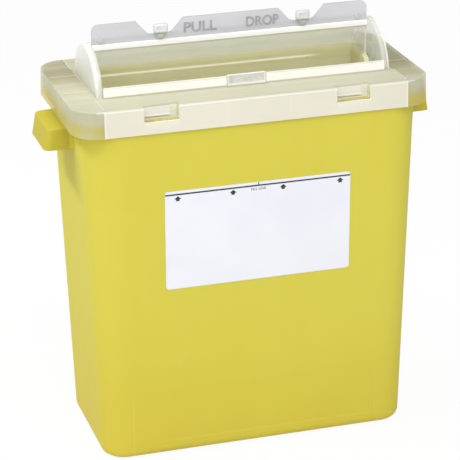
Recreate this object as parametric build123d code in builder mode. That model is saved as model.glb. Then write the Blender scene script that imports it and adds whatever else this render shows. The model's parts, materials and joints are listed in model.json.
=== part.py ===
"""Upright sharps container: drafted bin, press-on lid and a rotating drop tray under a hood."""
import os
from math import cos, radians, sin, tan

from build123d import *

os.makedirs("parts", exist_ok=True)

# Driving dimensions in millimetres. Origin: centre of the foot, +X right, +Y back, +Z up.

# container base
foot_width = 287.6
foot_depth = 140.6
body_height = 314.5  # foot to the ledge under the lid skirt
wall_draft = 1.9  # degrees, every wall leans outwards
foot_corner = 22.0
foot_edge_radius = 9.0
body_wall = 2.4
floor_thickness = 3.0
ledge_thickness = 2.4
collar_height = 12.5  # ledge to the rim that the lid sits on

# lid
side_overhang = 8.27  # deck past the top of the bin's walls, at each side
front_overhang = 1.57  # the same at the front and the back
deck_corner = 25.0
deck_thickness = 2.5
skirt_height = 23.8
skirt_draft = 2.1
skirt_wall = 2.0
deck_edge_radius = 1.2
plug_depth = 5.0  # how far the plug rib reaches below the rim
plug_wall = 1.6
rim_clearance = 0.5  # base collar to lid skirt, all round
seat_clearance = 0.3  # rim to lid, and every other seat left just open

# side handles
handle_length = 58.0
handle_drop = 24.2  # lower edge below the ledge
handle_height = 19.0
handle_depth = 26.6  # out from the bin's wall at the lower edge
handle_flare = 3.6  # how much further out the lower edge stands
handle_rise = 1.6  # how much higher the top is at the bin's wall
handle_wall = 2.4
handle_corner = 6.0
handle_edge_radius = 1.2
recess_draft = 8.0

# hood, tray and their common turning axis
axis_drop = 6.8  # turning axis below the deck
hood_radius = 43.5
hood_wall = 2.2
hood_shoulder = 27.5  # deck left free beside the hood
hood_edge_radius = 1.0
end_plate = 2.2
end_flange = 6.0
end_fit = 0.2  # hood ends in the deck opening
opening_corner = 1.5
ear_half_width = 12.0
ear_rise = 21.0  # above the turning axis
tray_clearance = 1.8  # tray to hood, all round the turn
tray_wall = 2.0
tray_side_gap = 0.5  # tray end to hood flange
tray_lip_angle = 215.0  # degrees round from the top, over the back, to the front lip
hub_radius = 9.0
pin_radius = 5.0
pin_clearance = 0.05
pin_end_gap = 0.3
pin_chamfer = 0.6
hub_wall = 4.0  # tray end wall round the pin

# pull flap and what holds it
flap_side_gap = 0.6  # flap shorter than the tray, at each end
flap_thickness = 2.5
flap_height = 20.2
flap_seat = 0.5  # flap foot above the trough's outside
flap_corner = 6.0
rail_foot_drop = 3.7  # rail's underside below the flap's foot
rail_front_bevel = 1.0
rail_back_wall = 1.8
rail_back_height = 7.0
rail_front_wall = 1.9
rail_front_height = 2.2
notch_centre = 66.0
notch_depth = 12.5
notch_floor_half = 10.4
notch_top_half = 21.6
notch_top_radius = 5.0
notch_floor_radius = 7.0
shank_drop = 1.8  # stud and stake shanks below the notch floor
stud_head_width = 13.4
stud_head_height = 9.6
stud_head_depth = 4.4
stud_head_rise = 4.8  # head centre above the notch floor
stud_shank_radius = 2.7
stud_collar = 0.8
stake_inset = 8.5  # from each end of the flap
stake_head_radius = 3.0
stake_head_height = 1.0
stake_shank_radius = 1.9

# front sill and the catch in its middle
sill_wall = 2.4
sill_height = 9.2
sill_edge_radius = 0.7
catch_half_width = 17.6
catch_slit = 0.7
catch_wall = 1.6
catch_height = 10.0
catch_hook = 0.7
recess_depth = 0.4
recess_length = 14.0
recess_gap = 1.0

# pockets and latch tongues
pocket_place = 87.3
pocket_half_width = 15.65
pocket_height = 13.3
pocket_depth = 8.3
pocket_wall = 1.4
pocket_step = 2.0
cut_past = 4.0  # how far a cutting block runs past the face it opens
latch_left = 15.3  # from the pocket's centre line
latch_right = 9.0
latch_drop = 9.4
latch_wall = 1.6
latch_hook = 1.2
latch_edge_radius = 0.4

# deck rails beside the hood
deck_rail_gap = 2.6  # rail centre from the hood's end
deck_rail_margin = 3.0
deck_rail_width = 1.2
deck_rail_height = 0.6
shoulder_rail_front = 21.5
shoulder_rail_back = 28.0

# front label
label_width = 171.4
label_height = 93.4
label_drop = 102.5  # label centre below the ledge
label_corner = 3.0
label_thickness = 0.3

# sizes that follow from the driving dimensions
lean = tan(radians(wall_draft))
skirt_lean = tan(radians(skirt_draft))
body_top_width = foot_width + 2 * lean * body_height
body_top_depth = foot_depth + 2 * lean * body_height
rim_top = body_height + collar_height
deck_width = body_top_width + 2 * side_overhang
deck_depth = body_top_depth + 2 * front_overhang
deck_top = body_height + skirt_height
deck_underside = deck_top - deck_thickness
collar_width = deck_width - 2 * skirt_wall - 2 * rim_clearance
collar_depth = deck_depth - 2 * skirt_wall - 2 * rim_clearance
collar_corner = deck_corner - skirt_wall - rim_clearance
plug_width = collar_width - 2 * body_wall - 2 * seat_clearance
plug_length = collar_depth - 2 * body_wall - 2 * seat_clearance
plug_corner = collar_corner - body_wall - seat_clearance
pocket_floor = deck_top - pocket_height
pocket_back = deck_depth / 2 - pocket_depth
axis_height = deck_top - axis_drop
hood_half_width = deck_width / 2 - hood_shoulder
hood_inside = hood_radius - hood_wall
flange_inside = hood_half_width - end_flange
ear_outside = hood_half_width - end_plate
ear_inside = flange_inside + end_fit
opening_half_width = ear_outside + end_fit
tray_radius = hood_inside - tray_clearance
tray_half_width = flange_inside - tray_side_gap
flap_half_width = tray_half_width - flap_side_gap
flap_foot = axis_height + tray_radius + flap_seat
flap_top = flap_foot + flap_height
flap_front = -flap_thickness / 2
notch_floor = flap_top - notch_depth
shank_height = notch_floor - shank_drop
stud_head_centre = notch_floor + stud_head_rise
stake_place = flap_half_width - stake_inset
rail_back_face = flap_thickness / 2 + rail_back_wall
hood_edge = rail_back_face + seat_clearance
sill_face = hood_radius + sill_wall
catch_foot = deck_top + seat_clearance
deck_rail_place = hood_half_width + deck_rail_gap
label_centre = body_height - label_drop


# ---------------------------------------------------------------- container base
with BuildPart() as body_envelope:
    with BuildSketch():
        RectangleRounded(foot_width, foot_depth, foot_corner)
    extrude(amount=body_height, taper=-wall_draft)
    fillet(body_envelope.faces().sort_by(Axis.Z)[0].edges(), foot_edge_radius)

with BuildPart() as container_base:
    add(body_envelope.part)
    # ledge and collar that carry the lid
    with BuildSketch(Plane.XY.offset(body_height)):
        RectangleRounded(collar_width, max(collar_depth, body_top_depth), collar_corner)
    extrude(amount=ledge_thickness)
    with BuildSketch(Plane.XY.offset(body_height + ledge_thickness)):
        RectangleRounded(collar_width, collar_depth, collar_corner)
    extrude(amount=rim_top - body_height - ledge_thickness)
    with BuildSketch(Plane.XY.offset(floor_thickness)):
        RectangleRounded(
            foot_width + 2 * lean * floor_thickness - 2 * body_wall,
            foot_depth + 2 * lean * floor_thickness - 2 * body_wall,
            foot_corner - body_wall,
        )
    extrude(
        amount=body_height + ledge_thickness - floor_thickness, taper=-wall_draft, mode=Mode.SUBTRACT
    )
    with BuildSketch(Plane.XY.offset(body_height + ledge_thickness)):
        RectangleRounded(
            collar_width - 2 * body_wall, collar_depth - 2 * body_wall, collar_corner - body_wall
        )
    extrude(amount=rim_top - body_height, mode=Mode.SUBTRACT)
    # notches in the collar that let the lid's pockets down
    with BuildSketch(Plane.XY.offset(pocket_floor + seat_clearance)):
        with GridLocations(2 * pocket_place, collar_depth - body_wall, 2, 2):
            Rectangle(2 * (pocket_half_width + pocket_wall + seat_clearance), 2 * body_wall)
    extrude(amount=rim_top, mode=Mode.SUBTRACT)

container_base.part.label = "container_base"
export_step(container_base.part, "parts/container_base.step")


# ---------------------------------------------------------------- side handles, open underneath
handle_bottom = body_height - handle_drop
handle_top = handle_bottom + handle_height
handle_root = foot_width / 2
handle_reach = handle_root + lean * handle_bottom + handle_depth
recess_width = handle_reach - handle_wall - handle_root
for side_name, side in (("left", -1), ("right", 1)):
    with BuildPart() as side_handle:
        with BuildSketch(Plane.XZ):
            with BuildLine():
                Polyline(
                    (side * handle_root, handle_bottom),
                    (side * handle_reach, handle_bottom),
                    (side * (handle_reach - handle_flare), handle_top),
                    (side * handle_root, handle_top + handle_rise),
                    close=True,
                )
            make_face()
        extrude(amount=handle_length / 2, both=True)
        outer_face = side_handle.faces().sort_by(Axis.X)[-1 if side > 0 else 0]
        fillet(outer_face.edges().filter_by(Axis.Y, reverse=True), handle_corner)
        fillet(side_handle.faces().sort_by(Axis.Z)[-1].edges().filter_by(Axis.Y), handle_edge_radius)
        with BuildSketch(Plane.XY.offset(handle_bottom)):
            with Locations((side * (handle_root + recess_width / 2), 0)):
                RectangleRounded(
                    recess_width, handle_length - 2 * handle_wall, handle_corner - handle_wall
                )
        extrude(amount=handle_height - handle_wall, taper=recess_draft, mode=Mode.SUBTRACT)
        add(body_envelope.part, mode=Mode.SUBTRACT)
    side_handle.part.label = "handle_" + side_name
    export_step(side_handle.part, "parts/handle_" + side_name + ".step")


# ---------------------------------------------------------------- front label
label_plane = Plane(
    origin=(0, -(foot_depth / 2 + lean * label_centre), label_centre),
    x_dir=(1, 0, 0),
    z_dir=(0, -cos(radians(wall_draft)), -sin(radians(wall_draft))),
)
with BuildPart() as front_label:
    with BuildSketch(label_plane):
        RectangleRounded(label_width, label_height, label_corner)
    extrude(amount=label_thickness)

front_label.part.label = "front_label"
export_step(front_label.part, "parts/front_label.step")


# ---------------------------------------------------------------- lid
with BuildPart() as lid:
    with BuildSketch(Plane.XY.offset(deck_top)):
        RectangleRounded(deck_width, deck_depth, deck_corner)
    extrude(amount=-skirt_height, taper=-skirt_draft)
    fillet(lid.faces().sort_by(Axis.Z)[-1].edges(), deck_edge_radius)
    with BuildSketch(Plane.XY.offset(deck_underside)):
        RectangleRounded(
            deck_width + 2 * skirt_lean * deck_thickness - 2 * skirt_wall,
            deck_depth + 2 * skirt_lean * deck_thickness - 2 * skirt_wall,
            deck_corner - skirt_wall,
        )
    extrude(amount=-skirt_height, taper=-skirt_draft, mode=Mode.SUBTRACT)
    # land that sits on the rim, and the plug rib that drops inside the collar
    with BuildSketch(Plane.XY.offset(deck_underside)):
        RectangleRounded(collar_width, collar_depth, collar_corner)
        RectangleRounded(
            plug_width - 2 * plug_wall,
            plug_length - 2 * plug_wall,
            plug_corner - plug_wall,
            mode=Mode.SUBTRACT,
        )
    extrude(amount=rim_top + seat_clearance - deck_underside)
    with BuildSketch(Plane.XY.offset(deck_underside)):
        RectangleRounded(plug_width, plug_length, plug_corner)
        RectangleRounded(
            plug_width - 2 * plug_wall,
            plug_length - 2 * plug_wall,
            plug_corner - plug_wall,
            mode=Mode.SUBTRACT,
        )
    extrude(amount=rim_top - plug_depth - deck_underside)
    # pocket boxes, then the pockets themselves, open to the deck and the skirt
    pocket_mid = (pocket_back - pocket_wall + collar_depth / 2) / 2
    with BuildSketch(Plane.XY.offset(deck_underside)):
        with GridLocations(2 * pocket_place, 2 * pocket_mid, 2, 2):
            Rectangle(
                2 * (pocket_half_width + pocket_wall), collar_depth / 2 - pocket_back + pocket_wall
            )
    extrude(amount=pocket_floor + 2 * seat_clearance - deck_underside)
    with BuildSketch(Plane.XY.offset(deck_top)):
        with GridLocations(2 * pocket_place, 2 * pocket_back + pocket_depth + cut_past, 2, 2):
            Rectangle(2 * pocket_half_width, pocket_depth + cut_past)
    extrude(amount=pocket_floor + pocket_step - deck_top, mode=Mode.SUBTRACT)
    with BuildSketch(Plane.XY.offset(deck_top)):
        outer_cut = 2 * body_wall + cut_past
        with GridLocations(2 * pocket_place, deck_depth - 2 * skirt_wall + cut_past - 2 * body_wall, 2, 2):
            Rectangle(2 * pocket_half_width, outer_cut)
    extrude(amount=pocket_floor - deck_top, mode=Mode.SUBTRACT)
    # opening over the tray
    with BuildSketch(Plane.XY.offset(deck_top)):
        RectangleRounded(2 * opening_half_width, 2 * hood_radius, opening_corner)
    extrude(amount=-deck_thickness, mode=Mode.SUBTRACT)
    # sill along the front of the opening, parted in the middle for the catch
    with BuildSketch(Plane.XY.offset(deck_top)):
        for side in (-1, 1):
            sill_start = catch_half_width + catch_slit
            with Locations((side * (sill_start + flange_inside) / 2, -sill_face + sill_wall / 2)):
                Rectangle(flange_inside - sill_start, sill_wall)
    extrude(amount=sill_height)
    fillet(lid.faces().sort_by(Axis.Z)[-2:].edges().filter_by(Axis.X), sill_edge_radius)
    # shallow recess in front of the catch, and low rails beside the hood
    with BuildSketch(Plane.XY.offset(deck_top)):
        with Locations((0, -sill_face - recess_gap - recess_length / 2)):
            Rectangle(2 * catch_half_width, recess_length)
    extrude(amount=-recess_depth, mode=Mode.SUBTRACT)
    with BuildSketch(Plane.XY.offset(deck_top)):
        rail_end = deck_depth / 2 - deck_rail_margin
        rail_length = rail_end - sill_face
        with GridLocations(2 * deck_rail_place, 2 * sill_face + rail_length, 2, 2):
            Rectangle(deck_rail_width, rail_length)
        shoulder_length = deck_width / 2 - deck_rail_margin - deck_rail_place
        shoulder_middle = (deck_width / 2 - deck_rail_margin + deck_rail_place) / 2
        for rail_y in (-shoulder_rail_front, shoulder_rail_back):
            with Locations((-shoulder_middle, rail_y), (shoulder_middle, rail_y)):
                Rectangle(shoulder_length, deck_rail_width)
    extrude(amount=deck_rail_height)

lid.part.label = "lid"
export_step(lid.part, "parts/lid.step")


# ---------------------------------------------------------------- latch tongues in the pockets
for side_name, side in (("left", -1), ("right", 1)):
    for row_name, row in (("front", -1), ("rear", 1)):
        with BuildPart() as latch_tongue:
            latch_x = side * pocket_place - row * 0.5 * (latch_right - latch_left)
            with BuildSketch(Plane.XY.offset(deck_top)):
                with Locations((latch_x, row * (pocket_back + latch_wall / 2))):
                    Rectangle(latch_left + latch_right, latch_wall)
            extrude(amount=-latch_drop)
            # hook along the lower edge
            with BuildSketch(Plane.XY.offset(deck_top - latch_drop)):
                with Locations((latch_x, row * (pocket_back + latch_wall))):
                    Rectangle(latch_left + latch_right, 2 * latch_wall)
            extrude(amount=latch_hook)
            top_edges = latch_tongue.faces().sort_by(Axis.Z)[-1].edges().filter_by(Axis.X)
            fillet(top_edges, latch_edge_radius)
        node_name = "latch_" + row_name + "_" + side_name
        latch_tongue.part.label = node_name
        export_step(latch_tongue.part, "parts/" + node_name + ".step")


# ---------------------------------------------------------------- hood: two ends and the rear cover
for side_name, side in (("left", -1), ("right", 1)):
    with BuildPart() as hood_end:
        # outer plate, a disc cut off at the deck
        with BuildSketch(Plane.YZ.offset(side * ear_outside)):
            with Locations((0, axis_height)):
                Circle(hood_radius)
            with Locations((0, deck_top - hood_radius)):
                Rectangle(3 * hood_radius, 2 * hood_radius, mode=Mode.SUBTRACT)
        extrude(amount=side * end_plate)
        # flange that turns in over the tray
        with BuildSketch(Plane.YZ.offset(side * flange_inside)):
            with Locations((0, axis_height)):
                Circle(hood_radius)
                Circle(hood_inside, mode=Mode.SUBTRACT)
            with Locations((0, deck_top - hood_radius)):
                Rectangle(3 * hood_radius, 2 * hood_radius, mode=Mode.SUBTRACT)
        extrude(amount=side * end_flange)
        rim_edges = hood_end.faces().sort_by(Axis.X)[-1 if side > 0 else 0].edges()
        fillet(rim_edges.filter_by(GeomType.CIRCLE), hood_edge_radius)
        # ear that hangs through the deck opening and carries the pivot pin
        with BuildSketch(Plane.YZ.offset(side * ear_inside)):
            with Locations((0, axis_height + ear_rise / 2)):
                Rectangle(2 * ear_half_width, ear_rise)
            with Locations((0, axis_height)):
                Circle(ear_half_width)
                Circle(pin_radius + pin_clearance, mode=Mode.SUBTRACT)
        extrude(amount=side * (ear_outside - ear_inside))
    hood_end.part.label = "hood_end_" + side_name
    export_step(hood_end.part, "parts/hood_end_" + side_name + ".step")

with BuildPart() as hood_cover:
    with BuildSketch(Plane.YZ.offset(-flange_inside)):
        with Locations((0, axis_height)):
            Circle(hood_radius)
            Circle(hood_inside, mode=Mode.SUBTRACT)
        with Locations((0, deck_top - hood_radius)):
            Rectangle(3 * hood_radius, 2 * hood_radius, mode=Mode.SUBTRACT)
        with Locations((hood_edge - hood_radius, axis_height)):
            Rectangle(2 * hood_radius, 3 * hood_radius, mode=Mode.SUBTRACT)
    extrude(amount=2 * flange_inside)

hood_cover.part.label = "hood_cover"
export_step(hood_cover.part, "parts/hood_cover.step")


# ---------------------------------------------------------------- drop tray
sector_reach = 2 * tray_radius
lip_direction = (sector_reach * sin(radians(tray_lip_angle)), sector_reach * cos(radians(tray_lip_angle)))
open_sector = [
    (0, axis_height),
    (0, axis_height + sector_reach),
    (-sector_reach, axis_height + sector_reach),
    (-sector_reach, axis_height - sector_reach),
    (lip_direction[0], axis_height + lip_direction[1]),
]
with BuildPart() as drop_tray:
    # trough, from the top over the back to the lip in front of the bottom
    with BuildSketch(Plane.YZ.offset(-tray_half_width)):
        with Locations((0, axis_height)):
            Circle(tray_radius)
            Circle(tray_radius - tray_wall, mode=Mode.SUBTRACT)
        with BuildLine():
            Polyline(*open_sector, close=True)
        make_face(mode=Mode.SUBTRACT)
    extrude(amount=2 * tray_half_width)
    # end walls with a hub round each pin
    for side in (-1, 1):
        with BuildSketch(Plane.YZ.offset(side * (tray_half_width - tray_wall))):
            with Locations((0, axis_height)):
                Circle(tray_radius)
            with BuildLine():
                Polyline(*open_sector, close=True)
            make_face(mode=Mode.SUBTRACT)
            with Locations((0, axis_height)):
                Circle(hub_radius)
        extrude(amount=side * tray_wall)
        with BuildSketch(Plane.YZ.offset(side * (tray_half_width - hub_wall))):
            with Locations((0, axis_height)):
                Circle(hub_radius)
        extrude(amount=side * hub_wall)
    with BuildSketch(Plane.YZ.offset(-tray_half_width)):
        with Locations((0, axis_height)):
            Circle(pin_radius)
    extrude(amount=2 * tray_half_width, mode=Mode.SUBTRACT)
    # rail along the top edge that holds the pull flap
    with BuildSketch(Plane.YZ.offset(-flap_half_width)):
        rail_foot = flap_foot - rail_foot_drop
        with BuildLine():
            Polyline(
                (-flap_thickness / 2 - rail_front_wall, rail_foot),
                (rail_back_face, rail_foot),
                (rail_back_face, flap_foot + rail_back_height),
                (flap_thickness / 2, flap_foot + rail_back_height),
                (flap_thickness / 2, flap_foot),
                (-flap_thickness / 2, flap_foot),
                (-flap_thickness / 2, flap_foot + rail_front_height),
                (-flap_thickness / 2 - rail_front_wall, flap_foot + rail_front_height - rail_front_bevel),
                close=True,
            )
        make_face()
    extrude(amount=2 * flap_half_width)
    # holes in the rail for the stakes and the studs' shanks
    with BuildSketch(Plane.XZ.offset(-2 * rail_back_face)):
        with Locations((-stake_place, shank_height), (stake_place, shank_height)):
            Circle(stake_shank_radius)
        with Locations((-notch_centre, shank_height), (notch_centre, shank_height)):
            Circle(stud_shank_radius)
    extrude(amount=2 * rail_back_face, mode=Mode.SUBTRACT)

drop_tray.part.label = "drop_tray"
export_step(drop_tray.part, "parts/drop_tray.step")


# ---------------------------------------------------------------- pivot pins
for side_name, side in (("left", -1), ("right", 1)):
    with BuildPart() as pivot_pin:
        with BuildSketch(Plane.YZ.offset(side * (tray_half_width - hub_wall))):
            with Locations((0, axis_height)):
                Circle(pin_radius)
        extrude(amount=side * (ear_outside - pin_end_gap - tray_half_width + hub_wall))
        chamfer(pivot_pin.faces().sort_by(Axis.X)[-1 if side > 0 else 0].edges(), pin_chamfer)
    pivot_pin.part.label = "pivot_pin_" + side_name
    export_step(pivot_pin.part, "parts/pivot_pin_" + side_name + ".step")


# ---------------------------------------------------------------- pull flap
with BuildPart() as pull_flap:
    with BuildSketch(Plane.XZ.offset(-flap_thickness / 2)) as flap_outline:
        with BuildLine():
            Polyline(
                (-flap_half_width, flap_foot),
                (flap_half_width, flap_foot),
                (flap_half_width, flap_top),
                (notch_centre + notch_top_half, flap_top),
                (notch_centre + notch_floor_half, notch_floor),
                (notch_centre - notch_floor_half, notch_floor),
                (notch_centre - notch_top_half, flap_top),
                (notch_top_half - notch_centre, flap_top),
                (notch_floor_half - notch_centre, notch_floor),
                (-notch_floor_half - notch_centre, notch_floor),
                (-notch_top_half - notch_centre, flap_top),
                (-flap_half_width, flap_top),
                close=True,
            )
        make_face()
        upper_corners = flap_outline.vertices().group_by(Axis.Y)[-1].sort_by(Axis.X)
        fillet([upper_corners[0], upper_corners[-1]], flap_corner)
        fillet(upper_corners[1:-1], notch_top_radius)
        fillet(flap_outline.vertices().group_by(Axis.Y)[1], notch_floor_radius)
        with Locations((-stake_place, shank_height), (stake_place, shank_height)):
            Circle(stake_shank_radius, mode=Mode.SUBTRACT)
        with Locations((-notch_centre, shank_height), (notch_centre, shank_height)):
            Circle(stud_shank_radius, mode=Mode.SUBTRACT)
    extrude(amount=flap_thickness)

pull_flap.part.label = "pull_flap"
export_step(pull_flap.part, "parts/pull_flap.step")


# ---------------------------------------------------------------- stakes and lock studs on the flap
with BuildPart() as flap_stakes:
    for stake_x in (-stake_place, stake_place):
        with BuildSketch(Plane.XZ.offset(-rail_back_face)):
            with Locations((stake_x, shank_height)):
                Circle(stake_shank_radius)
        extrude(amount=rail_back_face - flap_front)
        with BuildSketch(Plane.XZ.offset(-flap_front)):
            with Locations((stake_x, shank_height)):
                Circle(stake_head_radius)
        extrude(amount=stake_head_height)
    stake_heads = flap_stakes.faces().sort_by(Axis.Y)[:2]
    fillet(stake_heads.edges(), 0.5)

flap_stakes.part.label = "flap_stakes"
export_step(flap_stakes.part, "parts/flap_stakes.step")

for side_name, side in (("left", -1), ("right", 1)):
    with BuildPart() as lock_stud:
        # shank through the flap and the rail
        with BuildSketch(Plane.XZ.offset(-rail_back_face)):
            with Locations((side * notch_centre, shank_height)):
                Circle(stud_shank_radius)
        extrude(amount=rail_back_face - flap_front)
        # neck and oval head standing in front of the flap
        with BuildSketch(Plane.XZ.offset(-flap_front)):
            with Locations((side * notch_centre, shank_height)):
                Circle(stud_shank_radius + stud_collar)
            with Locations((side * notch_centre, (shank_height + stud_head_centre) / 2)):
                Rectangle(2 * stud_shank_radius, stud_head_centre - shank_height)
            with Locations((side * notch_centre, stud_head_centre)):
                Ellipse(stud_head_width / 2, stud_head_height / 2)
        extrude(amount=stud_head_depth)
        fillet(lock_stud.faces().sort_by(Axis.Y)[0].edges(), 0.8)
    lock_stud.part.label = "lock_stud_" + side_name
    export_step(lock_stud.part, "parts/lock_stud_" + side_name + ".step")


# ---------------------------------------------------------------- front catch
with BuildPart() as front_catch:
    with BuildSketch(Plane.YZ.offset(-catch_half_width)):
        with BuildLine():
            Polyline(
                (-sill_face, catch_foot),
                (-sill_face + catch_wall, catch_foot),
                (-sill_face + catch_wall, catch_foot + catch_height - 2.4),
                (-sill_face + catch_wall + catch_hook, catch_foot + catch_height - 1.6),
                (-sill_face + catch_wall, catch_foot + catch_height),
                (-sill_face, catch_foot + catch_height),
                close=True,
            )
        make_face()
    extrude(amount=2 * catch_half_width)
    fillet(front_catch.edges().filter_by(Axis.X).sort_by(Axis.Z)[-2:], 0.4)

front_catch.part.label = "front_catch"
export_step(front_catch.part, "parts/front_catch.step")
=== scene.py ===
import json
from math import atan, pi, radians

import bpy
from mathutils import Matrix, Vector


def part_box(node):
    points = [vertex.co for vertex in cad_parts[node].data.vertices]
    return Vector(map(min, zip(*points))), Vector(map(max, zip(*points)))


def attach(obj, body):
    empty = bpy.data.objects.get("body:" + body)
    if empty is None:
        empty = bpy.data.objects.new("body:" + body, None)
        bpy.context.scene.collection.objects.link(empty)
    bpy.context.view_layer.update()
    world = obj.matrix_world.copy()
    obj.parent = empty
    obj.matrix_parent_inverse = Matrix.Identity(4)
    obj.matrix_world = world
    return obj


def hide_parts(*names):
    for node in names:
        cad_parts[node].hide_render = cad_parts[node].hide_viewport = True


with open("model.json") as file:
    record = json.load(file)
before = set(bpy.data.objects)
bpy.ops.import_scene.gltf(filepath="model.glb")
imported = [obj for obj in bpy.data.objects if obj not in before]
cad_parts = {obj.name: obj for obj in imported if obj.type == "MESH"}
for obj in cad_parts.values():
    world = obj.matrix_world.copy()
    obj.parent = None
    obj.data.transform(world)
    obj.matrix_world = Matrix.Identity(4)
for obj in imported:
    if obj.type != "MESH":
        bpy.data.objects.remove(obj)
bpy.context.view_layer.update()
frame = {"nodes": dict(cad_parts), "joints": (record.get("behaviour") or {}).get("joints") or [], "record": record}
nodes = frame["nodes"]


def stage(text):
    print("sharps bin:", text)


def clearSelection():
    bpy.ops.object.select_all(action="DESELECT")


clearSelection()
stage("frame loaded, %d nodes" % len(nodes))


class Wire:
    def __init__(self, nodes, socket):
        self.nodes = nodes
        self.socket = socket

    def math(self, operation, first, second):
        return self.nodes.node("ShaderNodeMath", {"operation": operation}, {0: first, 1: second})

    def __add__(self, other):
        return self.math("ADD", self, other)

    def __radd__(self, other):
        return self.math("ADD", other, self)

    def __sub__(self, other):
        return self.math("SUBTRACT", self, other)

    def __rsub__(self, other):
        return self.math("SUBTRACT", other, self)

    def __mul__(self, other):
        return self.math("MULTIPLY", self, other)

    def __rmul__(self, other):
        return self.math("MULTIPLY", other, self)

    def __abs__(self):
        return self.math("ABSOLUTE", self, 0.0)

    def __pow__(self, other):
        return self.math("POWER", self, other)

    def smaller(self, other):
        return self.math("MINIMUM", self, other)

    def larger(self, other):
        return self.math("MAXIMUM", self, other)


class Nodes:
    def __init__(self, owner):
        owner.use_nodes = True
        self.tree = owner.node_tree
        self.tree.nodes.clear()

    def node(self, kind, settings=None, values=None, output=0):
        made = self.tree.nodes.new(kind)
        for key, value in (settings or {}).items():
            setattr(made, key, value)
        for key, value in (values or {}).items():
            if isinstance(value, Wire):
                self.tree.links.new(value.socket, made.inputs[key])
            else:
                made.inputs[key].default_value = value
        return Wire(self, made.outputs[output])

    def rays(self, *kinds):
        paths = [self.node("ShaderNodeLightPath", output="Is %s Ray" % kind) for kind in kinds]
        return sum(paths[1:], paths[0]).smaller(1.0)

    def mixShader(self, amount, first, second):
        return self.node("ShaderNodeMixShader", None, {0: amount, 1: first, 2: second})

    def show(self, shader, end="ShaderNodeOutputMaterial"):
        shown = self.tree.nodes.new(end)
        self.tree.links.new(shader.socket, shown.inputs["Surface"])


class Paint(Nodes):
    def __init__(self, name):
        self.material = bpy.data.materials.new(name)
        super().__init__(self.material)
        self.place = self.node("ShaderNodeTexCoord", output="Object")
        self.x, self.y, self.z = self.split(self.place)
        self.normal = self.node("ShaderNodeTexCoord", output="Normal")

    def split(self, vector):
        return [self.node("ShaderNodeSeparateXYZ", None, {"Vector": vector}, axis) for axis in "XYZ"]

    def noise(self, scale, detail=3.0, stretch=(1, 1, 1), offset=(0, 0, 0), rough=0.5):
        values = {"Vector": self.place, "Location": offset, "Scale": stretch}
        at = self.node("ShaderNodeMapping", None, values)
        return self.node(
            "ShaderNodeTexNoise", None, {"Vector": at, "Scale": scale, "Detail": detail, "Roughness": rough}
        )

    # 0 below low, 1 above high, eased between; low may be the greater of the two
    def rise(self, value, low, high):
        return self.node(
            "ShaderNodeMapRange",
            {"interpolation_type": "SMOOTHSTEP"},
            {"Value": value, "From Min": low, "From Max": high},
        )

    # 1 on a line at middle, fading to 0 at half away from it
    def line(self, value, middle, half):
        return self.rise(abs(value - middle), half, 0.0)

    def blend(self, amount, first, second):
        return self.node(
            "ShaderNodeMix", {"data_type": "RGBA"}, {0: amount, 6: first, 7: second}, 2
        )

    def bump(self, height, distance, strength=1.0, under=None):
        values = {"Height": height, "Distance": distance, "Strength": strength}
        if under:
            values["Normal"] = under
        return self.node("ShaderNodeBump", None, values)

    # 1 between low and high, with edges soft over the given width
    def between(self, value, low, high, soft=0.0004):
        return self.rise(value, low - soft, low) * self.rise(value, high + soft, high)

    # glow is the share of light let through the wall; cover hides what is behind it
    def surface(self, values, glow=0.0, cover=None):
        shader = self.node("ShaderNodeBsdfPrincipled", None, values)
        if glow != 0.0:
            thin = self.node("ShaderNodeBsdfTranslucent", None, {"Color": values["Base Color"]})
            shader = self.mixShader(glow, shader, thin)
        if cover is not None:
            clear = self.node("ShaderNodeBsdfTransparent", None, {"Color": white})
            shader = self.mixShader(cover, clear, shader)
        self.show(shader)
        return self.material


white = (1, 1, 1, 1)


def colour(red, green, blue):
    def straight(level):
        part = level / 255
        return part / 12.92 if part <= 0.04045 else ((part + 0.055) / 1.055) ** 2.4

    return (straight(red), straight(green), straight(blue), 1.0)


# heights and places that the finishes follow, from the frame
catchLow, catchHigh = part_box("front_catch")
lidLow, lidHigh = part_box("lid")
endLow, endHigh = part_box("hood_end_right")
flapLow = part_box("pull_flap")[0]
deckTop = catchLow.z - 0.0003
axisHeight = next(j["pos_m"][2] for j in frame["joints"] if j["name"] == "tray_turn")

# the yellow bin
binLook = {
    "upper": colour(224, 214, 85),
    "lower": colour(222, 205, 73),
    "cloud": colour(230, 220, 95),
    "scuff": colour(229, 222, 128),
    # paler colour painted on the creases and the foot line as a highlight
    "creaseAndHighlight": colour(236, 222, 92),
    # darker colour painted on the handles as shade
    "handleShade": colour(198, 185, 64),
    # each pattern is a noise: scale, detail, stretch, offset, roughness
    "clouds": (7, 3, (1, 1, 0.45)),
    "flow": (24, 4, (1, 1, 0.09), (3, 1, 2)),
    "grain": (620, 2, (1, 1, 1), (1, 4, 2)),
    "ripple": (16, 2, (1, 1, 0.3), (5, 2, 8)),
    "scuffs": (90, 6, (1, 1, 0.25), (9, 3, 4), 0.72),
    "fade": (0.02, 0.16),  # heights between which the lower tone turns into the upper one
    "front": (-0.058, -0.062),
    "bossSides": (-0.1175, 0.1105),  # the raised field low on the front
    "bossHeights": (0.004, 0.066),
    "creaseWidths": (0.0020, 0.0009),
    "creaseFade": 0.02,
    # height of the painted highlight line round the foot
    "footHighlightHeight": 0.014,
    "footHighlightWidth": 0.0016,
    "footHighlightEnds": (-0.075, 0.09, 0.03),
    "fillStep": 0.2435,
    "handleStart": 0.1565,
    "handleTop": (0.318, 0.312),
    "roughness": 0.46,
    "sheen": 0.12,
    "glow": 0.22,
}
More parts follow.
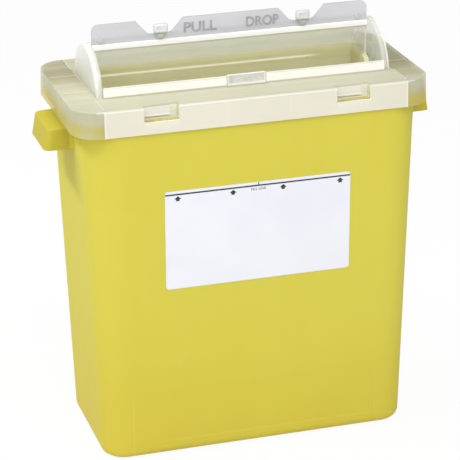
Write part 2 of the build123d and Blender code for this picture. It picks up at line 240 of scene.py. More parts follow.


# the raised field and the creases at its sides; the creases and a line round the foot are painted paler as
# highlights
def binMarks(paint, tone):
    onFront = paint.rise(paint.y, *binLook["front"])
    left, right = binLook["bossSides"]
    low, high = binLook["bossHeights"]
    boss = paint.between(paint.x, left, right) * paint.between(paint.z, low, high, 0.001) * onFront
    tone = paint.blend(boss * 0.14, tone, binLook["lower"])
    leftWidth, rightWidth = binLook["creaseWidths"]
    creaseAndHighlight = paint.line(paint.x, left, leftWidth) + paint.line(paint.x, right, rightWidth) * 0.5
    creaseAndHighlight = creaseAndHighlight * paint.rise(paint.z, high, high - binLook["creaseFade"]) * onFront
    foot = paint.line(paint.z, binLook["footHighlightHeight"], binLook["footHighlightWidth"])
    foot = foot * paint.between(paint.x, *binLook["footHighlightEnds"])
    # painted highlight: the creases and the line round the foot are blended to a paler colour
    return paint.blend((creaseAndHighlight + foot).smaller(1.0) * 0.4, tone, binLook["creaseAndHighlight"]), creaseAndHighlight


def yellowBin():
    paint = Paint("yellowBin")
    clouds = paint.rise(paint.noise(*binLook["clouds"]), 0.35, 0.75)
    flow = paint.noise(*binLook["flow"])
    scuffs = paint.rise(paint.noise(*binLook["scuffs"]), 0.64, 0.76)
    tone = paint.blend(paint.rise(paint.z, *binLook["fade"]), binLook["lower"], binLook["upper"])
    tone = paint.blend(clouds * 0.35, tone, binLook["cloud"])
    tone = paint.blend(paint.rise(flow, 0.5, 0.8) * 0.25, tone, binLook["lower"])
    tone = paint.blend(scuffs * 0.22, tone, binLook["scuff"])
    # slightly paler below the fill-step height
    step = paint.rise(paint.z, binLook["fillStep"] + 0.0008, binLook["fillStep"] - 0.0008)
    tone = paint.blend(step * 0.14, tone, binLook["cloud"])
    tone, creaseAndHighlight = binMarks(paint, tone)
    # painted shade: the handles are painted darker than the body
    onHandle = paint.rise(abs(paint.x), binLook["handleStart"], binLook["handleStart"] + 0.002)
    onHandle = onHandle * paint.rise(paint.z, *binLook["handleTop"])
    tone = paint.blend(onHandle * 0.8, tone, binLook["handleShade"])
    relief = paint.bump(paint.noise(*binLook["grain"]), 0.00004, 0.5)
    relief = paint.bump(paint.noise(*binLook["ripple"]), 0.0009, 0.35, relief)
    relief = paint.bump(creaseAndHighlight, 0.0005, 0.8, relief)
    return paint.surface(
        {
            "Base Color": tone,
            "Roughness": binLook["roughness"] + 0.1 * flow + 0.12 * scuffs,
            "Specular IOR Level": binLook["sheen"],
            "Normal": relief,
        },
        binLook["glow"],
    )


# the natural lid
lidLook = {
    "deck": colour(214, 213, 184),
    "front": colour(222, 221, 202),
    "shoulder": colour(176, 171, 132),
    "panel": colour(219, 215, 198),
    "latch": colour(248, 247, 234),
    "tint": colour(222, 208, 92),
    "cloud": colour(226, 225, 200),
    # paler colour for flow streaks and scuffs, also painted as highlights on edges and rails
    "streakAndHighlight": colour(246, 245, 238),
    # near white painted on the sill's front as a reflection; grey painted on its top strip as shade
    "sill": colour(252, 251, 246),
    "sillTopShade": colour(200, 202, 188),
    "pocketWall": colour(222, 216, 172),
    "pocketFoot": colour(248, 246, 230),
    "clouds": (18, 4, (0.5, 1, 1)),
    "flow": (60, 4, (0.06, 1, 1), (2, 5, 1)),
    "grain": (700, 2, (1, 1, 1), (1, 4, 2)),
    "ripple": (22, 2, (1, 1, 1), (4, 4, 4)),
    "scuffs": (120, 6, (0.4, 1, 1), (7, 3, 6), 0.7),
    "rimCloud": (30, 2, (1, 1, 0.4), (6, 6, 1)),
    "panelHalf": 0.138,
    "panelDepth": (0.0795, 0.081),
    "panelLine": 0.0009,
    "frontFade": (-0.040, -0.050),
    "shoulderStart": (0.1368, 0.1376),
    "shoulderLeft": (-0.010, 0.045),  # from the front, where each shoulder turns darker
    "shoulderRight": (-0.085, -0.050),
    "edgeDepth": (0.0808, 0.0815),
    "rimHeight": 0.327,
    "rimFade": (0.004, -0.006),
    "seams": (-0.0294, 0.0289),
    "seamWidth": 0.0007,
    "pocketSides": (0.0716, 0.1030),
    "pocketFront": -0.0742,
    "pocketFloor": 0.3275,
    "deckCover": 0.74,
    "cornerCover": 0.6,
    "panelCover": 0.96,
    "roughness": 0.34,
    "glow": 0.25,
}


# where the skirt, its front and back panels, the rails, the sill and the pockets are
def lidPlaces(paint):
    half = lidLook["panelHalf"]
    side = paint.rise(paint.z, deckTop - 0.0004, deckTop - 0.0012)
    panel = side * paint.rise(abs(paint.x), half + 0.0004, half - 0.0004)
    panel = panel * paint.rise(abs(paint.y), *lidLook["panelDepth"])
    pocket = paint.between(abs(paint.x), *lidLook["pocketSides"], 0.0001)
    pocket = pocket * paint.rise(paint.y, lidLook["pocketFront"] + 0.001, lidLook["pocketFront"])
    pocket = pocket * paint.rise(paint.z, deckTop - 0.0008, deckTop - 0.0016)
    pocket = pocket * paint.rise(paint.y, lidLow.y, lidLow.y + 0.002)
    return {
        "side": side,
        "panel": panel,
        "pocket": pocket,
        "rail": paint.rise(paint.z, deckTop + 0.0002, deckTop + 0.0005),
        "sill": paint.rise(paint.z, deckTop + 0.0008, deckTop + 0.0014),
    }


def deckTone(paint, places, clouds, flow):
    onTop = 1 - places["side"]
    tone = paint.blend(clouds * 0.45, lidLook["deck"], lidLook["cloud"])
    toFront = paint.rise(paint.y, *lidLook["frontFade"]) * onTop
    tone = paint.blend(toFront * 0.5, tone, lidLook["front"])
    onRight = paint.rise(paint.x, -0.01, 0.01)
    shoulder = paint.rise(paint.y, *lidLook["shoulderRight"]) * onRight
    shoulder = shoulder + paint.rise(paint.y, *lidLook["shoulderLeft"]) * (1 - onRight)
    shoulder = shoulder * paint.rise(abs(paint.x), *lidLook["shoulderStart"]) * onTop
    tone = paint.blend(shoulder * 0.9, tone, lidLook["shoulder"])
    return paint.blend(paint.rise(flow, 0.45, 0.75) * 0.3, tone, lidLook["streakAndHighlight"])


def skirtTone(paint, places, tone):
    side, panel = places["side"], places["panel"]
    tone = paint.blend(panel * 0.92, tone, lidLook["panel"])
    # the bin's rim shows through the corners
    above, below = lidLook["rimFade"]
    rim = paint.rise(paint.z, lidLook["rimHeight"] + above, lidLook["rimHeight"] + below)
    rim = side * (1 - panel) * rim * paint.rise(paint.noise(*lidLook["rimCloud"]), 0.2, 0.6)
    tone = paint.blend(rim, tone, lidLook["tint"])
    left, right = [paint.line(paint.x, seam, lidLook["seamWidth"]) for seam in lidLook["seams"]]
    tone = paint.blend((left + right) * panel * 0.35, tone, lidLook["cloud"])
    # painted highlights along the skirt's upper edge and the edge of each panel
    edge = paint.between(paint.z, deckTop - 0.0013, deckTop - 0.0001)
    edge = edge * paint.rise(abs(paint.y), *lidLook["edgeDepth"])
    panelEnd = paint.line(abs(paint.x), lidLook["panelHalf"] - 0.0006, lidLook["panelLine"])
    edge = (edge + panelEnd * panel * 0.6).smaller(1.0)
    return paint.blend(edge * 0.8, tone, lidLook["streakAndHighlight"])


# low rails on the deck, painted paler as a highlight, and the sill along the tray
def sillTone(paint, places, tone):
    tone = paint.blend(places["rail"] * (1 - places["sill"]) * 0.6, tone, lidLook["streakAndHighlight"])
    # painted reflection: the sill's front is painted near white; painted shade: its top strip is painted grey
    tone = paint.blend(places["sill"], tone, lidLook["sill"])
    sillTopShade = paint.rise(paint.z, lidHigh.z - 0.0012, lidHigh.z - 0.0006)
    return paint.blend(sillTopShade * 0.7, tone, lidLook["sillTopShade"])


def pocketTone(paint, places, tone):
    pocket = places["pocket"]
    tone = paint.blend(pocket, tone, lidLook["latch"])
    sideways = abs(paint.split(paint.normal)[0])
    tone = paint.blend(pocket * paint.rise(sideways, 0.5, 0.8) * 0.8, tone, lidLook["pocketWall"])
    floor = paint.rise(paint.z, lidLook["pocketFloor"] + 0.0008, lidLook["pocketFloor"])
    return paint.blend(pocket * floor, tone, lidLook["pocketFoot"])


def naturalLid():
    paint = Paint("naturalLid")
    clouds = paint.rise(paint.noise(*lidLook["clouds"]), 0.35, 0.7)
    flow = paint.noise(*lidLook["flow"])
    scuffs = paint.rise(paint.noise(*lidLook["scuffs"]), 0.62, 0.76)
    places = lidPlaces(paint)
    tone = deckTone(paint, places, clouds, flow)
    tone = skirtTone(paint, places, tone)
    tone = sillTone(paint, places, tone)
    tone = pocketTone(paint, places, tone)
    tone = paint.blend(scuffs * 0.2, tone, lidLook["streakAndHighlight"])
    solid = places["panel"].larger(places["pocket"])
    cover = lidLook["deckCover"] + (lidLook["cornerCover"] - lidLook["deckCover"]) * places["side"]
    cover = cover + (lidLook["panelCover"] - lidLook["cornerCover"]) * solid
    cover = cover.larger(places["sill"] * 0.97) + clouds * 0.05
    relief = paint.bump(paint.noise(*lidLook["grain"]), 0.00003, 0.5)
    relief = paint.bump(flow, 0.0002, 0.5, relief)
    relief = paint.bump(paint.noise(*lidLook["ripple"]), 0.0005, 0.3, relief)
    return paint.surface(
        {
            "Base Color": tone,
            "Roughness": lidLook["roughness"] + 0.12 * clouds + 0.1 * scuffs,
            "Normal": relief,
        },
        (1 - places["panel"].larger(places["sill"])) * lidLook["glow"],
        cover.smaller(1.0),
    )


# clear and frosted pieces
clearLooks = {
    "clearHood": {
        "tone": colour(247, 248, 245), "shade": colour(236, 239, 233), "cover": 0.28,
        "roughness": 0.2, "streaks": (1, 0.2, 0.2), "glow": 0.35,
    },
    "clearTray": {
        "tone": colour(250, 250, 243), "shade": colour(240, 242, 232), "cover": 0.55,
        "roughness": 0.2, "streaks": (0.02, 1, 1), "glow": 0.48,
    },
    # the flap's edge colour is painted shade on faces turned away from the front
    "frostedFlap": {
        "tone": colour(226, 226, 230), "shade": colour(212, 212, 218), "cover": 0.78,
        "roughness": 0.3, "streaks": (0.2, 1, 1), "glow": 0.1, "edge": colour(176, 177, 182),
    },
    # the stud's edge colour is painted shade on faces turned away from the front
    "clearStud": {
        "tone": colour(240, 242, 241), "shade": colour(222, 226, 223), "cover": 0.7,
        "roughness": 0.12, "streaks": (1, 1, 1), "glow": 0.2, "edge": colour(186, 190, 192),
    },
}
clearPatterns = {
    "cloudScale": 26,
    "flowScale": 95,
    "grain": (800, 2, (1, 1, 1), (2, 1, 3)),
    "scuffs": (150, 6, (0.5, 1, 1), (3, 8, 5), 0.7),
}
hoodLook = {
    # near white, painted as a highlight on the front edge round each end
    "rim": colour(254, 254, 252),
    "rimWidth": 0.0022,
    "rimEnds": (0.0024, 0.0016),  # in from the outer face
    "baseTint": colour(206, 204, 158),
    "baseFade": (0.012, -0.002),
    "endCover": 0.42,  # how much milkier the ends are than the top
}
trayLook = {
    "rail": colour(252, 252, 249),
    "railEdge": colour(226, 222, 178),
    "railDrop": (0.0025, 0.0021),  # below the flap's foot
    "railEdgeDrop": (0.0036, 0.0026),
    "tint": colour(255, 253, 222),
    "tintTop": 0.3418,
    "tintCover": 0.45,
    "drawn": colour(238, 232, 172),  # fine lines left across by the mould
    "drawnLines": (240, 2, (0.004, 1, 1), (0, 3, 5)),
    "endCover": 0.35,  # how much clearer the end walls are
    # near white, painted as a highlight line along the trough; it glows and carries a bump
    "troughHighlight": colour(255, 254, 246),
    "troughHighlightGlow": colour(178, 178, 164),  # emission that makes the painted highlight line in the trough glow
    "troughHighlightHeight": 0.3328,
    "troughHighlightHalf": 0.0011,
    "troughHighlightBack": (0.030, 0.034),
    "troughHighlightEnds": (-0.1255, 0.100),
    "troughHighlightFade": 0.02,
}
catchLook = {
    "lip": colour(254, 254, 248),
    "sideLip": (0.0018, 0.0010),
    "topLip": (0.0014, 0.0008),
    "footLip": (0.0024, 0.0018),
    "blotch": colour(218, 219, 206),
    "blotches": (210, 5, (0.6, 1, 1), (6, 2, 7), 0.65),
}


# wall holds tone, cover, height of the relief and glow, and dress changes them for one piece
def clearPlastic(name, dress):
    look = clearLooks[name]
    paint = Paint(name)
    clouds = paint.rise(paint.noise(clearPatterns["cloudScale"], 4, look["streaks"]), 0.3, 0.7)
    flow = paint.noise(clearPatterns["flowScale"], 4, look["streaks"], (4, 2, 1))
    scuffs = paint.rise(paint.noise(*clearPatterns["scuffs"]), 0.63, 0.77)
    wall = {
        "tone": paint.blend(clouds * 0.6, look["tone"], look["shade"]),
        "cover": look["cover"] + 0.1 * flow + 0.12 * scuffs,
        "height": 0.3 * flow,
        "glow": look["glow"],
        "light": {},
    }
    dress(paint, wall)
    relief = paint.bump(paint.noise(*clearPatterns["grain"]), 0.00003, 0.4)
    return paint.surface(
        {
            "Base Color": wall["tone"],
            "Roughness": look["roughness"] + 0.08 * clouds + 0.15 * scuffs,
            "Normal": paint.bump(wall["height"], 0.0008, 0.5, relief),
            **wall["light"],
        },
        wall["glow"],
        wall["cover"].smaller(1.0),
    )


# a painted highlight, near white, along the front edge round each end, and ends that are milkier than the top
def dressHood(paint, wall):
    up = paint.z - axisHeight
    reach = (paint.y * paint.y + up * up) ** 0.5
    rimStart = endHigh.z - axisHeight - hoodLook["rimWidth"]
    fromOuter = [endHigh.x - step for step in hoodLook["rimEnds"]]
    rim = paint.rise(reach, rimStart, rimStart + 0.0006) * paint.rise(abs(paint.x), *fromOuter)
    # painted highlight on the front edge of each end
    tone = paint.blend(rim * paint.rise(paint.y, 0.006, -0.006), wall["tone"], hoodLook["rim"])
    low = paint.rise(paint.z, *[deckTop + step for step in hoodLook["baseFade"]])
    wall["tone"] = paint.blend(low * 0.2, tone, hoodLook["baseTint"])
    onLeftEnd = paint.rise(paint.x, 0.001 - endLow.x, 0.002 - endHigh.x)
    wall["cover"] = (wall["cover"] + onLeftEnd * hoodLook["endCover"]).larger(rim * 0.85)


def dressTray(paint, wall):
    top = trayLook["tintTop"]
    tint = paint.rise(paint.z, top + 0.0012, top - 0.0012)
    onEnd = paint.rise(abs(paint.split(paint.normal)[0]), 0.5, 0.8)
    cover = wall["cover"] + tint * trayLook["tintCover"] - onEnd * trayLook["endCover"]
    tone = paint.blend(tint * 0.75, wall["tone"], trayLook["tint"])
    drawn = paint.rise(paint.noise(*trayLook["drawnLines"]), 0.48, 0.62)
    tone = paint.blend(drawn * (0.1 + 0.25 * tint), tone, trayLook["drawn"])
    rail = paint.rise(paint.z, *[flapLow.z - drop for drop in trayLook["railDrop"]])
    tone = paint.blend(rail, tone, trayLook["rail"])
    lower = paint.between(paint.z, *[flapLow.z - drop for drop in trayLook["railEdgeDrop"]])
    tone = paint.blend(lower * 0.7, tone, trayLook["railEdge"])
    # painted highlight: a thin near-white line along the back of the trough, which glows by emission
    left, right = trayLook["troughHighlightEnds"]
    away = abs(paint.z - trayLook["troughHighlightHeight"])
    troughHighlight = paint.rise(away, trayLook["troughHighlightHalf"], trayLook["troughHighlightHalf"] * 0.6)
    troughHighlight = troughHighlight * paint.rise(paint.y, *trayLook["troughHighlightBack"])
    troughHighlight = troughHighlight * paint.rise(paint.x, right, right - trayLook["troughHighlightFade"])
    troughHighlight = troughHighlight * paint.rise(paint.x, left, left + 0.001)
    wall["tone"] = paint.blend(troughHighlight, tone, trayLook["troughHighlight"])
    wall["cover"] = cover.larger(troughHighlight).larger(rail * 0.95)
    wall["height"] = wall["height"] + troughHighlight
    wall["glow"] = (1 - rail) * wall["glow"]
    caught = paint.blend(troughHighlight, colour(0, 0, 0), trayLook["troughHighlightGlow"])
    wall["light"] = {"Emission Color": caught, "Emission Strength": 1.0}


def dressFlap(paint, wall):
    frontFacing = abs(paint.split(paint.normal)[1])
    # painted shade: faces turned away from the front are painted darker
    edge = paint.rise(frontFacing, 0.8, 0.4)
    wall["tone"] = paint.blend(edge * 0.8, wall["tone"], clearLooks["frostedFlap"]["edge"])
    wall["cover"] = wall["cover"].larger(edge * 0.9)


def dressStud(paint, wall):
    # painted shade: faces turned away from the front are painted darker
    frontFacing = abs(paint.split(paint.normal)[1])
    edge = paint.rise(frontFacing, 0.9, 0.3)
    tone = paint.blend(edge * 0.7, wall["tone"], clearLooks["clearStud"]["edge"])
    # the catch has pale lips around a blotchy middle
    across = abs(paint.x)
    onCatch = paint.rise(across, catchHigh.x + 0.002, catchHigh.x + 0.001)
    lip = paint.rise(across, *[catchHigh.x - step for step in catchLook["sideLip"]])
    lip = lip.larger(paint.rise(paint.z, *[catchHigh.z - step for step in catchLook["topLip"]]))
    lip = lip.larger(paint.rise(paint.z, *[catchLow.z + step for step in catchLook["footLip"]]))
    blotch = paint.rise(paint.noise(*catchLook["blotches"]), 0.46, 0.58)
    tone = paint.blend(onCatch * blotch * 0.7, tone, catchLook["blotch"])
    wall["tone"] = paint.blend(onCatch * lip * 0.85, tone, catchLook["lip"])
    wall["cover"] = wall["cover"].larger(onCatch * lip * 0.95) + 0.2 * edge
    wall["height"] = wall["height"] + onCatch * lip


# label film
labelLook = {
    "film": colour(228, 230, 237),
    "shade": colour(218, 221, 229),
    # darker colour painted round the label's edges as shade
    "edge": colour(205, 204, 190),
    "edgeWidth": 0.0012,
    "roughness": 0.42,
}
labelLow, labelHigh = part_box("front_label")


def labelFilm():
    paint = Paint("labelFilm")
    clouds = paint.noise(14, 4)
    fibre = paint.noise(900, 3)
    width = labelLook["edgeWidth"]
    edge = paint.rise(abs(paint.x), labelHigh.x - width, labelHigh.x)
    edge = edge.larger(paint.rise(paint.z, labelLow.z + width, labelLow.z))
    edge = edge.larger(paint.rise(paint.z, labelHigh.z - width, labelHigh.z))
    tone = paint.blend(paint.rise(clouds, 0.35, 0.7) * 0.5, labelLook["film"], labelLook["shade"])
    # painted shade round the label's edges
    tone = paint.blend(edge * 0.35, tone, labelLook["edge"])
    relief = paint.bump(fibre, 0.00002, 0.5)
    relief = paint.bump(clouds, 0.0003, 0.3, relief)
    return paint.surface(
        {"Base Color": tone, "Roughness": labelLook["roughness"] + 0.1 * clouds, "Normal": relief}
    )


# ink, raised letters and stud feet: two tones mixed by one fine grain
smallLooks = {
    "printedInk": {
        "tone": colour(38, 38, 40), "shade": colour(74, 74, 76), "grain": 500, "fade": (0.4, 0.75),
        "roughness": 0.5, "unevenness": 0.15, "relief": (0.00001, 0.4),
    },
    "raisedPlastic": {
        "tone": colour(170, 170, 175), "shade": colour(158, 158, 163), "grain": 160, "fade": (0.35, 0.7),
        "roughness": 0.3, "unevenness": 0.1, "relief": (0.00003, 0.5),
    },
    "footPlastic": {
        "tone": colour(192, 193, 180), "shade": colour(172, 174, 160), "grain": 300, "fade": (0.35, 0.7),
        "roughness": 0.25, "unevenness": 0.1, "relief": (0.00004, 0.5),
    },
}


def smallFinish(name):
    look = smallLooks[name]
    paint = Paint(name)
    grain = paint.noise(look["grain"], 4)
    return paint.surface(
        {
            "Base Color": paint.blend(paint.rise(grain, *look["fade"]), look["tone"], look["shade"]),
            "Roughness": look["roughness"] + look["unevenness"] * grain,
            "Normal": paint.bump(grain, *look["relief"]),
        }
    )


slotFinishes = {
    "yellow_body": yellowBin(),
    "natural_lid": naturalLid(),
    "clear_hood": clearPlastic("clearHood", dressHood),
    "clear_tray": clearPlastic("clearTray", dressTray),
    "frosted_flap": clearPlastic("frostedFlap", dressFlap),
    "clear_stud": clearPlastic("clearStud", dressStud),
    "label_film": labelFilm(),
}
inkFinish = smallFinish("printedInk")
footFinish = smallFinish("footPlastic")
letterFinish = smallFinish("raisedPlastic")

for part in frame["record"]["subparts"]:
    cadNode = nodes[part["node"]]
    cadNode.data.materials.clear()
    cadNode.data.materials.append(slotFinishes[part["material_slot"]])
stage("finishes given")


def pickOnly(piece):
    clearSelection()
    piece.select_set(True)
    bpy.context.view_layer.objects.active = piece


def finishPiece(piece, name, finish, body):
    pickOnly(piece)
    piece.name = name
    piece.data.name = name
    bpy.ops.object.transform_apply(location=True, rotation=True, scale=True)
    piece.data.materials.clear()
    piece.data.materials.append(finish)
    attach(piece, body)
    clearSelection()


# a copy with a mesh of its own, moved sideways
def copyAcross(piece, shift):
    pickOnly(piece)
    bpy.ops.object.duplicate()
    twin = bpy.context.object
    twin.location.x += shift
    return twin


def joinPieces(pieces):
    clearSelection()
    for piece in pieces:
        piece.select_set(True)
    bpy.context.view_layer.objects.active = pieces[0]
    bpy.ops.object.join()
    return pieces[0]


# sets the scale in the mesh, so that what is modelled next keeps true widths
def applyScale(piece, scale):
    piece.scale = scale
    bpy.ops.object.transform_apply(location=False, rotation=False, scale=True)


# fill line printed on the label
fillLook = {
    "ruleHeight": 0.2553,
    "ruleWidth": 0.0014,
    "inkThickness": 0.00006,
    "tickHeight": 0.003,
    "tickWidth": 0.0008,
    "arrowPlaces": (-0.074, -0.0235, 0.0227, 0.076),
    "arrowTip": 0.2537,
    "arrowLength": 0.0046,
    "arrowHead": 0.6,  # the head's share of the length
    "arrowHeadWidth": 0.0066,
    "arrowStemWidth": 0.0032,
    "arrowPoint": 0.04,  # the width left at the tip, as a share of the head's
    "ruleInset": 0.0006,
    "words": "FILL LINE",
    "wordsHeight": 0.0024,
    "wordsWidth": 0.0134,
    "wordsMiddle": 0.2522,
}

labelThickness = 0.0003
labelLean = (labelHigh.y - labelLow.y - labelThickness) / (labelHigh.z - labelLow.z)
labelTilt = atan(labelLean)


def onLabel(x, height):
    return Vector((x, labelLow.y + labelLean * (labelHigh.z - height), height))


def inkBar(height, width, tall):
    bpy.ops.mesh.primitive_cube_add(size=1, location=onLabel(0, height), rotation=(labelTilt, 0, 0))
    bar = bpy.context.object
    applyScale(bar, (width, 2 * fillLook["inkThickness"], tall))
    return bar


def makeArrow():
    headLength = fillLook["arrowLength"] * fillLook["arrowHead"]
    stemLength = fillLook["arrowLength"] - headLength
    stemMiddle = fillLook["arrowTip"] - headLength - stemLength / 2
    stem = inkBar(stemMiddle, fillLook["arrowStemWidth"], stemLength)
    clearSelection()
    head = inkBar(fillLook["arrowTip"] - headLength / 2, fillLook["arrowHeadWidth"], headLength)
    bpy.ops.object.mode_set(mode="EDIT")
    bpy.ops.mesh.select_all(action="DESELECT")
    bpy.ops.object.mode_set(mode="OBJECT")
    for corner in head.data.vertices:
        corner.select = corner.co.z > 0
    bpy.ops.object.mode_set(mode="EDIT")
    bpy.ops.transform.resize(value=(fillLook["arrowPoint"], 1, 1))
    bpy.ops.object.mode_set(mode="OBJECT")
    return joinPieces([stem, head])


def makeFillLine():
    ruleLength = labelHigh.x - labelLow.x - fillLook["ruleInset"]
    rule = inkBar(fillLook["ruleHeight"], ruleLength, fillLook["ruleWidth"])
    clearSelection()
    tickLength = fillLook["tickHeight"]
    tick = inkBar(fillLook["ruleHeight"] + tickLength / 2, fillLook["tickWidth"], tickLength)
    clearSelection()
    arrow = makeArrow()
    arrows = [copyAcross(arrow, place) for place in fillLook["arrowPlaces"][1:]]
    arrow.location.x += fillLook["arrowPlaces"][0]
    marks = joinPieces([rule, tick, arrow, *arrows])
    finishPiece(marks, "fillLineMarks", inkFinish, "base")


capToSize = 1.4  # text size for a capital one unit high


# letters as a solid, half of it sunk in the surface: proud is how far it stands out
def makeWords(words, capHeight, middle, tilt, proud, weight):
    bpy.ops.object.text_add(location=(0, 0, 0))
    lettering = bpy.context.object
    lettering.data.body = words
    lettering.data.size = capHeight * capToSize
    lettering.data.align_x = "CENTER"
    lettering.data.extrude = proud
    lettering.data.offset = weight
    bpy.ops.object.convert(target="MESH")
    corners = [corner.co for corner in lettering.data.vertices]
    left, right = min(c.x for c in corners), max(c.x for c in corners)
    bottom, top = min(c.y for c in corners), max(c.y for c in corners)
    for corner in corners:
        corner.x -= (left + right) / 2
        corner.y -= (bottom + top) / 2
    lettering.rotation_euler = (pi / 2 + tilt, 0, 0)
    lettering.location = middle
    return lettering, (right - left, top - bottom)


def makeFillWords():
    middle = onLabel(0, fillLook["wordsMiddle"])
    lettering, (width, tall) = makeWords(
        fillLook["words"], fillLook["wordsHeight"], middle, labelTilt, fillLook["inkThickness"], 0.0
    )
    lettering.scale.x = fillLook["wordsWidth"] / width
    finishPiece(lettering, "fillLineWords", inkFinish, "base")


makeFillLine()
makeFillWords()

# raised words on the pull flap
flapLook = {
    "words": (("PULL", -0.0289), ("DROP", 0.0289)),
    "capHeight": 0.0093,
    "wordWidth": 0.0306,
    "middleHeight": 0.38235,
    "proud": 0.0004,
    "weight": 0.0003,
}


def makeFlapWords():
    for words, place in flapLook["words"]:
        middle = (place, flapLow.y, flapLook["middleHeight"])
        lettering, (width, tall) = makeWords(
            words, flapLook["capHeight"], middle, 0, flapLook["proud"], flapLook["weight"]
        )
        lettering.scale = (flapLook["wordWidth"] / width, flapLook["capHeight"] / tall, 1)
        finishPiece(lettering, "flapWord" + words.title(), letterFinish, "tray_unit")


makeFlapWords()
stage("marks made")

# lock studs: a rounded cap over the notch, on a low oval foot
studLook = {
    "sideInset": 0.0002,
    "capHeight": 0.0088,
    "capDeep": 0.0044,
    "capRound": 0.0020,
    "capDish": 0.0007,
    "dishDepth": 0.0004,
    "footWidth": 0.0072,
    "footHeight": 0.0044,
    "footMiddle": 0.3777,
    "footSetBack": 0.0015,
    "footRim": 0.0005,
    "footStep": 0.0003,
    "footStepWidth": 0.0004,
}


def selectFront(piece):
    bpy.ops.object.mode_set(mode="EDIT")
    bpy.ops.mesh.select_mode(type="FACE")
    bpy.ops.mesh.select_all(action="DESELECT")
    bpy.ops.object.mode_set(mode="OBJECT")
    for face in piece.data.polygons:
        face.select = face.normal.y < -0.5
    bpy.ops.object.mode_set(mode="EDIT")


def makeStudCap(low, high):
    middleX = (low.x + high.x) / 2
    deep = studLook["capDeep"]
    tall = studLook["capHeight"]
    bpy.ops.mesh.primitive_cube_add(size=1, location=(middleX, low.y + deep / 2, high.z - tall / 2))
    cap = bpy.context.object
    applyScale(cap, (high.x - low.x - 2 * studLook["sideInset"], deep, tall))
    selectFront(cap)
    bpy.ops.mesh.inset(thickness=studLook["capRound"], depth=0)
    bpy.ops.mesh.inset(thickness=studLook["capDish"], depth=-studLook["dishDepth"])
    bpy.ops.object.mode_set(mode="OBJECT")
    rounding = cap.modifiers.new("capRounding", "BEVEL")
    rounding.width = studLook["capRound"]
    rounding.segments = 4
    rounding.limit_method = "ANGLE"
    rounding.angle_limit = radians(60)
    bpy.ops.object.modifier_apply(modifier="capRounding")
    bpy.ops.object.shade_smooth_by_angle(angle=radians(35))
    return cap


def makeStudFoot(low, high):
    front = low.y + studLook["footSetBack"]
    bpy.ops.mesh.primitive_cylinder_add(
        vertices=40,
        radius=0.5,
        depth=1,
        rotation=(pi / 2, 0, 0),
        location=((low.x + high.x) / 2, (front + high.y) / 2, studLook["footMiddle"]),
    )
    foot = bpy.context.object
    bpy.ops.object.transform_apply(location=False, rotation=True, scale=False)
    applyScale(foot, (studLook["footWidth"], high.y - front, studLook["footHeight"]))
    selectFront(foot)
    bpy.ops.mesh.inset(thickness=studLook["footRim"], depth=0)
    bpy.ops.mesh.inset(thickness=studLook["footStepWidth"], depth=studLook["footStep"])
    bpy.ops.object.mode_set(mode="OBJECT")
    bpy.ops.object.shade_smooth_by_angle(angle=radians(35))
    return foot


def makeStuds():
    low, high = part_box("lock_stud_left")
    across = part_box("lock_stud_right")[0].x - low.x
    leftCap = makeStudCap(low, high)
    clearSelection()
    leftFoot = makeStudFoot(low, high)
    pairs = {
        "left": (leftCap, leftFoot),
        "right": (copyAcross(leftCap, across), copyAcross(leftFoot, across)),
    }
    for side, (cap, foot) in pairs.items():
        finishPiece(foot, "studFoot_" + side, footFinish, "tray_unit")
        finishPiece(cap, "studCap_" + side, slotFinishes["clear_stud"], "tray_unit")
        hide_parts("lock_stud_" + side)


makeStuds()
stage("lock studs made")

# floor, light and camera
studio = {
    "floorSize": 12.0,
    "floorGap": 0.0002,
    "floorTone": (0.86, 0.86, 0.86, 1.0),
    "floorShade": (0.8, 0.8, 0.8, 1.0),
    "floorWhite": 0.93,  # how much of the floor's tone is plain white to the camera
    "fill": 0.62,
    "stripPlace": (-0.967, 0.14, 1.50),  # long soft light that throws the handle's shadow
    "stripAim": (0.0, 0.0, 0.235),
    "stripSize": (1.3, 0.06),
    "stripPower": 15.0,
    "frontPlace": (-0.7, -2.0, 1.3),
    "frontAim": (0.0, 0.0, 0.2),
    "frontSize": (1.3, 1.3),
    "frontPower": 9.5,
    "overPlace": (0.05, -0.95, 1.5),  # shines into the trough
    "overAim": (0.0, 0.0, 0.2),
    "overSize": (0.6, 0.6),
    "overPower": 8.5,
}
cameraLook = {
    "place": (-0.54461, -1.83618, 0.92800),
    "turn": (68.76628, 0.73706, -16.70256),
    "lens": 173.967,
    "sensor": 36.0,
}


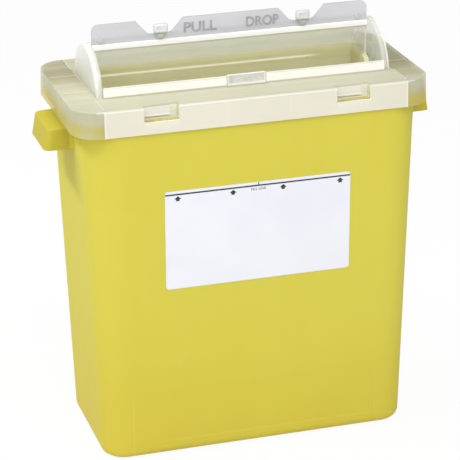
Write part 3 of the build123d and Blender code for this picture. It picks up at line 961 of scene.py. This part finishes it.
def makeFloor():
    paint = Paint("studioFloor")
    soft = paint.noise(3, 2)
    floorTone = paint.blend(soft * 0.15, studio["floorTone"], studio["floorShade"])
    diffuse = paint.node("ShaderNodeBsdfPrincipled", None, {"Base Color": floorTone, "Roughness": 0.8})
    plain = paint.node("ShaderNodeEmission", None, {"Color": white, "Strength": 1.0})
    amount = paint.rays("Camera", "Glossy", "Transmission") * studio["floorWhite"]
    paint.show(paint.mixShader(amount, diffuse, plain))
    bpy.ops.mesh.primitive_plane_add(size=studio["floorSize"], location=(0, 0, -studio["floorGap"]))
    floor = bpy.context.object
    floor.name = "studioFloor"
    floor.data.materials.append(paint.material)
    clearSelection()


def makeWorld():
    world = bpy.data.worlds.new("studioWorld")
    bpy.context.scene.world = world
    sky = Nodes(world)
    around = sky.node("ShaderNodeBackground", None, {"Color": white, "Strength": studio["fill"]})
    behind = sky.node("ShaderNodeBackground", None, {"Color": white, "Strength": 1.0})
    seen = sky.rays("Camera", "Transmission")
    sky.show(sky.mixShader(seen, around, behind), "ShaderNodeOutputWorld")


def softBox(name, place, aim, size, power):
    bpy.ops.object.light_add(type="AREA", location=place)
    lamp = bpy.context.object
    lamp.name = name
    lamp.data.shape = "RECTANGLE"
    lamp.data.size, lamp.data.size_y = size
    lamp.data.energy = power
    lamp.rotation_euler = (Vector(aim) - Vector(place)).to_track_quat("-Z", "Y").to_euler()
    clearSelection()


def makeLights():
    for name in ("Strip", "Front", "Over"):
        kind = name.lower()
        softBox("studio" + name, *[studio[kind + part] for part in ("Place", "Aim", "Size", "Power")])


def makeCamera():
    bpy.ops.object.camera_add(
        location=cameraLook["place"], rotation=[radians(turn) for turn in cameraLook["turn"]]
    )
    camera = bpy.context.object
    camera.name = "studioCamera"
    camera.data.lens = cameraLook["lens"]
    camera.data.sensor_width = cameraLook["sensor"]
    bpy.context.scene.camera = camera
    clearSelection()


makeFloor()
makeWorld()
makeLights()
makeCamera()
bpy.context.scene.view_settings.view_transform = "Standard"
stage("studio ready")
